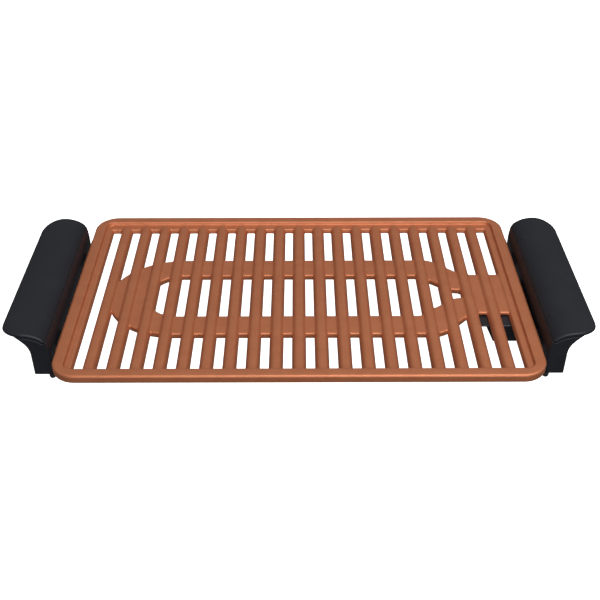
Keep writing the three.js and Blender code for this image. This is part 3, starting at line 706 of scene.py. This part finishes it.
# The leg's section and its hollow: (out from the handle's inner face, up from the leg's top).
LEG_DEPTH, WALL = 17.3, 3
LEG_FLARE = [(LEG_DEPTH, -17.4), (17.6, -11.2), (21.2, -3.9), (29.6, 0)]
LEG_SHELF = [(26, 0), (15.1, -0.4), (9.7, -3), (5.64, -6.6)]
LEG_INNER = [(2.74, -4.8), (1.7, -7.3), (0.5, -13.5), (0, -18.1)]
HOLLOW_FLARE = [(LEG_DEPTH - WALL, -17.2), (14.7, -10.2), (18, -3.7), (24.5, -1.4)]
HOLLOW_INNER = [(24.5, 3), (6.2, 3), (6.2, -6.7), (4.7, -8.7), (3.5, -13.7), (WALL, -18.1)]
LEG_MARGIN = 0.5
BOSS_RADIUS = 3.6
RIB_Y, RIB_HALF, RIB_TOP = 42, 1, 30
FOOT_BLOCK_Y, FOOT_BLOCK_REACH, FOOT_BLOCK_TOP = 86, 8.6, 14
FOOT_STEM, FOOT_HOLE_TOP = 1.5, 11
PORT_HALF, PORT_LOW, PORT_HIGH, PORT_WALL = 23, 7, 20, 2


def grip_section(inner, top):
    """The grip in X and Z: a broad crowned top with a thin lip that hangs over outwards."""
    def at(*points):
        return [(inner + out, top + up) for out, up in points]
    line = at(GRIP_CREASE, GRIP_NOTCH)
    line += bezier(line[-1], *at(*GRIP_UNDER))
    line += bezier(line[-1], *at(*GRIP_UNDER_LIP), steps=10)
    line += bezier(line[-1], *at(*GRIP_LIP), steps=6)
    line += bezier(line[-1], *at(*GRIP_TOP))
    line += bezier(line[-1], *at(*GRIP_CROWN))
    return line[:-1]


def leg_sections(inner, bottom, top):
    """The leg in X and Z, and the hollow in it: upright walls that flare outwards under the grip."""
    def at(*points):
        return [(inner + out, top + up) for out, up in points]
    outer = [(inner, bottom), (inner + LEG_DEPTH, bottom), *at(LEG_FLARE[0])]
    outer += bezier(*at(*LEG_FLARE))
    outer += at(LEG_SHELF[0])
    outer += bezier(*at(*LEG_SHELF))
    outer += at(*LEG_INNER)
    hollow = [(inner + WALL, bottom - 5), (inner + LEG_DEPTH - WALL, bottom - 5), *at(HOLLOW_FLARE[0])]
    hollow += bezier(*at(*HOLLOW_FLARE))
    return outer, hollow + at(*HOLLOW_INNER)


def handle_plan(x, y, inner, lip, half):
    """The handle's outline from above, for +X: small corners inside, large ones at its lip."""
    return np.maximum(
        rectangle(x, y, inner, lip + 60, -half, half, GRIP_INNER_CORNER),
        rectangle(x, y, inner - 60, lip, -half, half, GRIP_LIP_CORNER),
    )


def build_grip(side, sign):
    node = f"handle_grip_{side}"
    low, high = corners(node)
    crease, lip = sorted(abs(v) for v in (low[0], high[0]))
    half, top = high[1], high[2]
    inner = crease - GRIP_CREASE[0]
    section = grip_section(inner, top)
    screw_low, screw_high = corners(f"grip_screw_{side}_back")
    screw_x, screw_y = abs(screw_low[0] + screw_high[0]) / 2, (screw_low[1] + screw_high[1]) / 2

    def shape(grid):
        x, y, z = grid[0] * sign, grid[1], grid[2]
        from_screw = np.hypot(x - screw_x, np.abs(y) - screw_y)
        body = both(polygon(x, z, section), handle_plan(x, y, inner, lip, half), GRIP_SHEET)
        body = joined(body, both(from_screw - BOSS_RADIUS, between(z, low[2], top - 4), 0.4), 0.6)
        return less(body, both(from_screw - SHANK - GAP, z - screw_high[2] - GAP, 0.4), 0.3)

    near = stops((-half - 0.8, 0.5), (-half + 24, 2), (-screw_y - 5, 0.5), (-screw_y + 5, 5), (0, None))
    axes = [
        np.sort(sign * even(crease, lip, 0.5)),
        np.concatenate([near, -near[-2::-1]]),
        stops((low[2] - 1, 0.8), (top - 13, 0.4), (top + 0.8, None)),
    ]
    add_shape(node, shape, axes, MOULDING)


def build_leg(side, sign):
    node = f"handle_leg_{side}"
    low, high = corners(node)
    inner = min(abs(low[0]), abs(high[0]))
    lip = max(abs(v[0]) for v in corners(f"handle_grip_{side}"))
    half, bottom, top = high[1], low[2], high[2]
    outer, hollow = leg_sections(inner, bottom, top)
    strap_low, strap_high = corners(f"mounting_strap_{side}_back")
    foot_low, foot_high = corners(f"foot_{side}_back")
    foot_x, foot_y = abs(foot_low[0] + foot_high[0]) / 2, (foot_low[1] + foot_high[1]) / 2
    wall = inner + LEG_DEPTH

    def shape(grid):
        x, y, z = grid[0] * sign, grid[1], grid[2]
        away = np.abs(y)
        plan = handle_plan(x, y, inner, lip - LEG_MARGIN, half)
        body = both(polygon(x, z, outer), plan, 0.7)
        body = less(body, both(polygon(x, z, hollow), away - half + WALL, 1.0), 0.4)
        rib = both(between(x, inner + 2, wall - 2), between(away, RIB_Y - RIB_HALF, RIB_Y + RIB_HALF))
        body = joined(body, both(rib, between(z, bottom + 1.5, RIB_TOP), 0.4), 0.5)
        across = between(x, inner + 1, inner + FOOT_BLOCK_REACH)
        foot_block = both(across, between(away, FOOT_BLOCK_Y, half - 1), 0.8)
        body = joined(body, both(foot_block, between(z, bottom, FOOT_BLOCK_TOP), 0.4), 0.5)
        hole = both(np.hypot(x - foot_x, away - foot_y) - FOOT_STEM - GAP, z - FOOT_HOLE_TOP)
        body = less(body, hole, 0.2)
        gate = both(x - inner - 4, between(away, strap_low[1] - GAP, strap_high[1] + GAP))
        body = less(body, both(gate, between(z, strap_low[2] - GAP, strap_high[2] + GAP)), 0.3)
        if side == "right":
            off = np.abs(y - SOCKET_MIDDLE)
            level = between(z, PORT_LOW - PORT_WALL, PORT_HIGH + PORT_WALL)
            tunnel = both(off - PORT_HALF - PORT_WALL, level, 2.5)
            body = joined(body, both(tunnel, between(x, inner + 1, wall - 1)), 0.5)
            body = less(body, both(off - PORT_HALF, between(z, PORT_LOW, PORT_HIGH), 2.0), 0.7)
        return body

    marks = [(-half - 0.75, 0.5), (-half + 14, 1.5), (-strap_high[1] - 2, 0.5),
             (-strap_low[1] + 2, 2), (-RIB_Y - 3, 0.5), (-RIB_Y + 3, 1.0), (0, None)]
    near = stops(*marks)
    axes = [
        np.sort(sign * even(inner, max(p[0] for p in outer), 0.5)),
        np.concatenate([near, -near[-2::-1]]),
        even(bottom, top, 0.5),
    ]
    add_shape(node, shape, axes, MOULDING)


for side, sign in (("right", 1), ("left", -1)):
    build_grip(side, sign)
    build_leg(side, sign)

# ---------------------------------------------------------------- socket

HOUSING_WALL, HOUSING_LEFT, HOUSING_FOOT, HOUSING_EDGE = 2.2, 168.9, 177.5, 1.2
FOOT_WALL, SLANT_WALL = 1.4, 3.6  # the slanted wall's thickness along X, at its foot and its top
EAR_LEFT, EAR_RIGHT, EAR_BACK, EAR_SHEET = 160, 174, -36, 1.4
POST_RADIUS, SCREW_POCKET, SCREW_HEAD = 3.6, 2.9, 3.1
FRAME_SHEET, NECK_RADIUS = 0.8, 3.4
SLEEVE_BORE, SLEEVE_END = 3.2, 1.2
RING_FROM_TIP, RING_DEPTH = 9, 0.3
SPRING_HALF_SHEET, SPRING_DIP, SPRING_TIP = 0.25, 1.8, 0.3
SPRING_FLAT, SPRING_BEND, SPRING_LOW, SPRING_RISE = 200, 203.5, 205.5, 207.5


def housing(grid):
    x, y, z = grid
    left, foot = HOUSING_LEFT, HOUSING_FOOT
    front, bottom = housing_low[1:]
    right, back, top = housing_high
    wall = HOUSING_WALL
    outer = polygon(x, z, [(foot, bottom), (right, bottom), (right, top), (left, top)])
    open_end = right + 5
    inner = polygon(x, z, [
        (foot + FOOT_WALL, bottom + wall),
        (open_end, bottom + wall),
        (open_end, top - wall),
        (left + SLANT_WALL, top - wall),
    ])
    body = both(outer, between(y, front, back), HOUSING_EDGE)
    body = less(body, both(inner, between(y, front + wall, back - wall), 0.8), 0.5)
    ear = block(grid, (EAR_LEFT, front, top - EAR_SHEET), (EAR_RIGHT, EAR_BACK, top), 0.5, 2)
    body = joined(body, ear, 0.4)
    for spot in HOUSING_SCREWS:
        cx, cy = spot[:2]
        body = joined(body, rod_up(grid, cx, cy, bottom + 1, top - 1, POST_RADIUS), 0.6)
        body = less(body, np.hypot(x - cx, y - cy) - SHANK - GAP, 0.2)
        pocket = rod_up(grid, cx, cy, bottom - 5, bottom + SCREW_POCKET, SCREW_HEAD + GAP)
        body = less(body, pocket, 0.3)
    hole = rod_along(grid, left - 5, foot + 6, SOCKET_MIDDLE, SOCKET_AXIS, SLEEVE_RADIUS + GAP)
    body = less(body, hole, 0.2)
    beside, level = nearest_on_route(x, y)
    channel = np.hypot(beside, z - level) - TUBE_RADIUS - CHANNEL_GAP
    return less(body, both(channel, x - TUBE_END - 5), 0.2)


add_shape("socket_housing", housing, box_axes(housing_low, housing_high, 0.5), MOULDING)


def build_inlet():
    low, high = corners("inlet_frame")
    sheet = FRAME_SHEET

    def shape(grid):
        x, y, z = grid
        shell = rectangle(y, z, low[1], high[1], low[2], high[2], 1.8)
        shell = both(shell, between(x, low[0], high[0]), 0.35)
        room = rectangle(y, z, low[1] + sheet, high[1] - sheet, low[2] + sheet, high[2] - sheet, 1.0)
        body = less(shell, both(room, low[0] + sheet - x), 0.25)
        for pin in (PIN_BACK, PIN_FRONT):
            hole = rod_along(grid, low[0] - 2, low[0] + 2, pin, SOCKET_AXIS, NECK_RADIUS + GAP)
            body = less(body, hole, 0.2)
        hole = rod_along(grid, low[0] - 2, low[0] + 2, SOCKET_MIDDLE, SOCKET_AXIS, SLEEVE_RADIUS + GAP)
        return less(body, hole, 0.2)

    add_shape("inlet_frame", shape, box_axes(low, high, 0.3), SHEET)


def build_sleeve():
    low, high = sleeve_low, sleeve_high

    def shape(grid):
        axis = (SOCKET_MIDDLE, SOCKET_AXIS)
        outer = rod_along(grid, low[0], high[0], *axis, SLEEVE_RADIUS, 0.5)
        bore = rod_along(grid, low[0] + SLEEVE_END, high[0] + 5, *axis, SLEEVE_BORE, 0.6)
        return less(outer, bore, 0.25)

    axes = [stops((low[0] - 0.5, 0.25), (low[0] + 3, 1.5), (high[0] - 1, 0.25), (high[0] + 0.5, None))]
    axes += [even(low[k], high[k], 0.25) for k in (1, 2)]
    add_shape("probe_sleeve", shape, axes, SHEET)


def build_spring():
    """A leaf with a flat, a dip that grips the plug's earth plate, and a rising tip."""
    low, high = corners("earth_spring")
    half_sheet = SPRING_HALF_SHEET
    top = high[2] - half_sheet
    dip = (SPRING_LOW, top - SPRING_DIP)
    line = [(low[0] + half_sheet, top), (SPRING_FLAT, top)]
    line += bezier(line[-1], (SPRING_BEND, top), dip, steps=8)
    line += bezier(dip, (SPRING_RISE, dip[1]), (high[0] - half_sheet, top - SPRING_TIP), steps=8)
    line = np.array(line)
    path = respaced(np.stack([line[:, 0], np.zeros(len(line)), line[:, 1]], 1), 0.2)

    def shape(grid):
        x, y, z = grid
        nearest = np.inf
        for px, _, pz in path:
            nearest = np.minimum(nearest, np.hypot(x - px, z - pz))
        return both(nearest - half_sheet, between(y, low[1], high[1]), 0.15)

    add_shape("earth_spring", shape, box_axes(low, high, 0.2, 0.3, 0.12), SHEET)


def build_terminals(where, y):
    low, high = corners(f"terminal_pin_{where}")
    radius = (high[2] - low[2]) / 2

    def pin(grid):
        body = rod_along(grid, low[0], high[0], y, SOCKET_AXIS, radius, 1.2)
        from_side = np.hypot(grid[1] - y, grid[2] - SOCKET_AXIS) - radius
        ring = np.hypot(from_side, grid[0] - high[0] + RING_FROM_TIP) - RING_DEPTH
        return less(body, ring, 0.2)

    add_shape(f"terminal_pin_{where}", pin, box_axes(low, high, 0.25, 0.2, 0.2), PLATING)
    bead_low, bead_high = corners(f"terminal_insulator_{where}")
    shoulder = (bead_high[2] - bead_low[2]) / 2
    plate_face = corners("inlet_frame")[0][0]

    def bead(grid):
        body = rod_along(grid, bead_low[0], plate_face - GAP, y, SOCKET_AXIS, shoulder, 0.6)
        neck = rod_along(grid, bead_low[0] + 1, bead_high[0], y, SOCKET_AXIS, NECK_RADIUS, 0.5)
        bore = rod_along(grid, bead_low[0] - 2, bead_high[0] + 2, y, SOCKET_AXIS, radius + GAP)
        return less(joined(body, neck, 0.1), bore, 0.3)

    add_shape(f"terminal_insulator_{where}", bead, box_axes(bead_low, bead_high, 0.2), CERAMIC)


build_inlet()
build_sleeve()
build_spring()
build_terminals("back", PIN_BACK)
build_terminals("front", PIN_FRONT)

# ---------------------------------------------------------------- straps, screws and feet

STRAP_INNER_CORNER, STRAP_OUTER_CORNER = 4, 2
HEAD_HEIGHT, HEAD_DOME, RECESS, THREAD, THREAD_DEPTH = 2.2, 5.2, 1.1, 1.3, 0.25
CROSS_ARM, CROSS_SLIT, CROSS_TAPER = 1.9, 0.5, 0.25
FOOT_RADIUS, FOOT_SHOULDER, FOOT_TAPER, FOOT_RING = 2.9, 4.2, 0.25, 1.1


def build_strap(node, holes):
    low, high = corners(node)
    outward = 1 if low[0] > 0 else -1
    inner = min(abs(low[0]), abs(high[0]))

    def shape(grid):
        x, y, z = grid
        near = rectangle(x * outward, y, inner, inner + 60, low[1], high[1], STRAP_INNER_CORNER)
        plan = rectangle(x, y, low[0], high[0], low[1], high[1], STRAP_OUTER_CORNER)
        plan = np.maximum(near, plan)
        body = both(plan, between(z, low[2], high[2]), 0.5)
        for spot in holes:
            body = less(body, np.hypot(x - spot[0], y - spot[1]) - SHANK - GAP, 0.25)
        return body

    add_shape(node, shape, box_axes(low, high, 0.4, 0.4, 0.3), STRAP_PAINT)


def build_screw(node):
    """A pan-head screw driven upwards, so its cross recess faces down."""
    low, high = corners(node)
    cx, cy = (low[0] + high[0]) / 2, (low[1] + high[1]) / 2
    seat = low[2] + HEAD_HEIGHT

    def shape(grid):
        x, y, z = grid[0] - cx, grid[1] - cy, grid[2]
        away = np.hypot(x, y)
        head = both(away - SCREW_HEAD, between(z, low[2], seat), 0.5)
        dome = np.hypot(away, z - low[2] - HEAD_DOME) - HEAD_DOME
        head = both(head, dome, 0.3)
        turn = np.arctan2(y, x) / (2 * math.pi)
        wave = np.abs(2 * np.mod(z / THREAD - turn, 1) - 1)
        shank = both(away - SHANK + THREAD_DEPTH * wave, between(z, seat - 0.5, high[2]), 0.5)
        body = joined(head, shank, 0.2)
        taper = (z - low[2]) * CROSS_TAPER
        arm = CROSS_ARM - taper
        slit = CROSS_SLIT - taper * 0.6
        along_x = rectangle(x, y, -arm, arm, -slit, slit)
        cross = joined(along_x, rectangle(x, y, -slit, slit, -arm, arm), 0.2)
        return less(body, both(cross, z - low[2] - RECESS), 0.12)

    add_shape(node, shape, box_axes(low, high, 0.2), PLATING)


def build_foot(node):
    low, high = corners(node)
    cx, cy = (low[0] + high[0]) / 2, (low[1] + high[1]) / 2

    def shape(grid):
        away = np.hypot(grid[0] - cx, grid[1] - cy)
        z = grid[2]
        taper = np.maximum(0, FOOT_SHOULDER - 2 - z) * FOOT_TAPER
        pad = both(away - FOOT_RADIUS + taper, between(z, low[2], low[2] + FOOT_SHOULDER), 0.5)
        pad = less(pad, np.hypot(away - FOOT_RING, z - low[2]) - 0.35, 0.15)
        return joined(pad, both(away - FOOT_STEM, between(z, low[2] + 2, high[2]), 0.4), 0.2)

    add_shape(node, shape, box_axes(low, high, 0.2), RUBBER)


for side in ("right", "left"):
    for where in ("back", "front"):
        screws = [f"grate_screw_{side}_{where}", f"grip_screw_{side}_{where}"]
        build_strap(f"mounting_strap_{side}_{where}", [np.mean(corners(s), axis=0) for s in screws])
        for node in screws:
            build_screw(node)
        build_foot(f"foot_{side}_{where}")
for where in ("back", "front"):
    build_screw(f"socket_screw_{where}")

# ---------------------------------------------------------------- floor, light and camera

# Metres, watts and degrees.
SWEEP_FLAT, SWEEP_BEND, SWEEP_RISE, SWEEP_SIDES = 2.6, 0.9, 1.2, 96
FLOOR_DROP, FLOOR_GLOW = 0.0002, 1.3
SOFTBOX = {"place": (0.4, -0.55, 1.5), "target": (0, 0, 0), "size": (1.7, 1.1), "energy": 23}
FRONT_FILL = {"place": (0.1, -2.2, 0.6), "target": (0, 0, 0.02), "size": (2.0, 1.0), "energy": 19}
# The backdrop's greys from straight down to straight up.
BELOW, LEVEL, BEHIND, ABOVE = 0.1, 0.12, 0.2, 0.36
CAMERA_PLACE, CAMERA_TILT, CAMERA_ROLL = (0, -0.71157, 0.53338), 53.93, -0.15
LENS, SENSOR, LENS_SHIFT = 55.5, 36, 0.00175


def build_floor():
    """A pale floor that sweeps up all round, so that a low view meets no horizon."""
    profile = [(SWEEP_FLAT * share, 0.0) for share in (0.3, 0.65, 1.0)]
    for angle in np.linspace(0, math.pi / 2, 13)[1:]:
        rise = SWEEP_BEND * (1 - math.cos(angle))
        profile.append((SWEEP_FLAT + SWEEP_BEND * math.sin(angle), rise))
    profile.append((profile[-1][0], SWEEP_BEND + SWEEP_RISE))
    sides = SWEEP_SIDES
    vertices = [(0, 0, 0)]
    faces = []
    for ring, (radius, height) in enumerate(profile):
        for k in range(sides):
            angle = k / sides * 2 * math.pi
            vertices.append((radius * math.cos(angle), radius * math.sin(angle), height))
            here, after = 1 + ring * sides + k, 1 + ring * sides + (k + 1) % sides
            faces.append((0, here, after) if ring == 0 else (here - sides, here, after, after - sides))
    mesh = bpy.data.meshes.new("floor")
    mesh.from_pydata(vertices, [], faces)
    mesh.shade_smooth()
    floor = bpy.data.objects.new("floor", mesh)
    floor.location.z = cad_bounds[0][2] - FLOOR_DROP
    floor.visible_diffuse = False
    floor.visible_glossy = False
    bpy.context.collection.objects.link(floor)
    s = Surface("floor_white")
    body = s.ramp(s.noise(1.5, 2), (0.3, tone(212, 212, 213)), (0.7, tone(216, 216, 217)))
    s.shader.inputs["Emission Color"].default_value = (1, 1, 1, 1)
    s.shader.inputs["Emission Strength"].default_value = FLOOR_GLOW
    mesh.materials.append(s.finish(body, s.ranged(s.noise(3, 2), 0.85, 0.95)))


def area_light(name, place, target, size, energy):
    data = bpy.data.lights.new(name, "AREA")
    data.shape = "RECTANGLE"
    data.size, data.size_y = size
    data.energy = energy
    light = bpy.data.objects.new(name, data)
    light.location = place
    light.rotation_euler = (Vector(target) - Vector(place)).to_track_quat("-Z", "Y").to_euler()
    bpy.context.collection.objects.link(light)


def build_light():
    area_light("softbox", **SOFTBOX)
    area_light("front_fill", **FRONT_FILL)
    world = bpy.data.worlds.new("studio")
    bpy.context.scene.world = world
    world.use_nodes = True
    nodes, links = world.node_tree.nodes, world.node_tree.links
    place = nodes.new("ShaderNodeTexCoord")
    split = nodes.new("ShaderNodeSeparateXYZ")
    ramp = nodes.new("ShaderNodeValToRGB")
    shift = nodes.new("ShaderNodeMapRange")
    shift.inputs["From Min"].default_value = -1
    links.new(place.outputs["Generated"], split.inputs[0])
    links.new(split.outputs["Z"], shift.inputs["Value"])
    links.new(shift.outputs["Result"], ramp.inputs["Fac"])
    steps = [(0.0, BELOW), (0.46, BELOW), (0.54, LEVEL), (0.66, BEHIND), (0.86, ABOVE)]
    while len(ramp.color_ramp.elements) < len(steps):
        ramp.color_ramp.elements.new(0.5)
    for element, (position, grey) in zip(ramp.color_ramp.elements, steps):
        element.position = position
        element.color = (grey, grey, grey, 1)
    links.new(ramp.outputs["Color"], nodes["Background"].inputs["Color"])


def build_camera():
    data = bpy.data.cameras.new("camera")
    data.lens = LENS
    data.sensor_width = SENSOR
    data.shift_x = LENS_SHIFT
    data.clip_start = 0.01
    camera = bpy.data.objects.new("camera", data)
    camera.location = CAMERA_PLACE
    tilt = Matrix.Rotation(math.radians(CAMERA_TILT), 4, "X")
    roll = Matrix.Rotation(math.radians(CAMERA_ROLL), 4, "Z")
    camera.rotation_euler = (tilt @ roll).to_euler()
    bpy.context.collection.objects.link(camera)
    bpy.context.scene.camera = camera


build_floor()
build_light()
build_camera()
bpy.context.scene.view_settings.view_transform = "Standard"
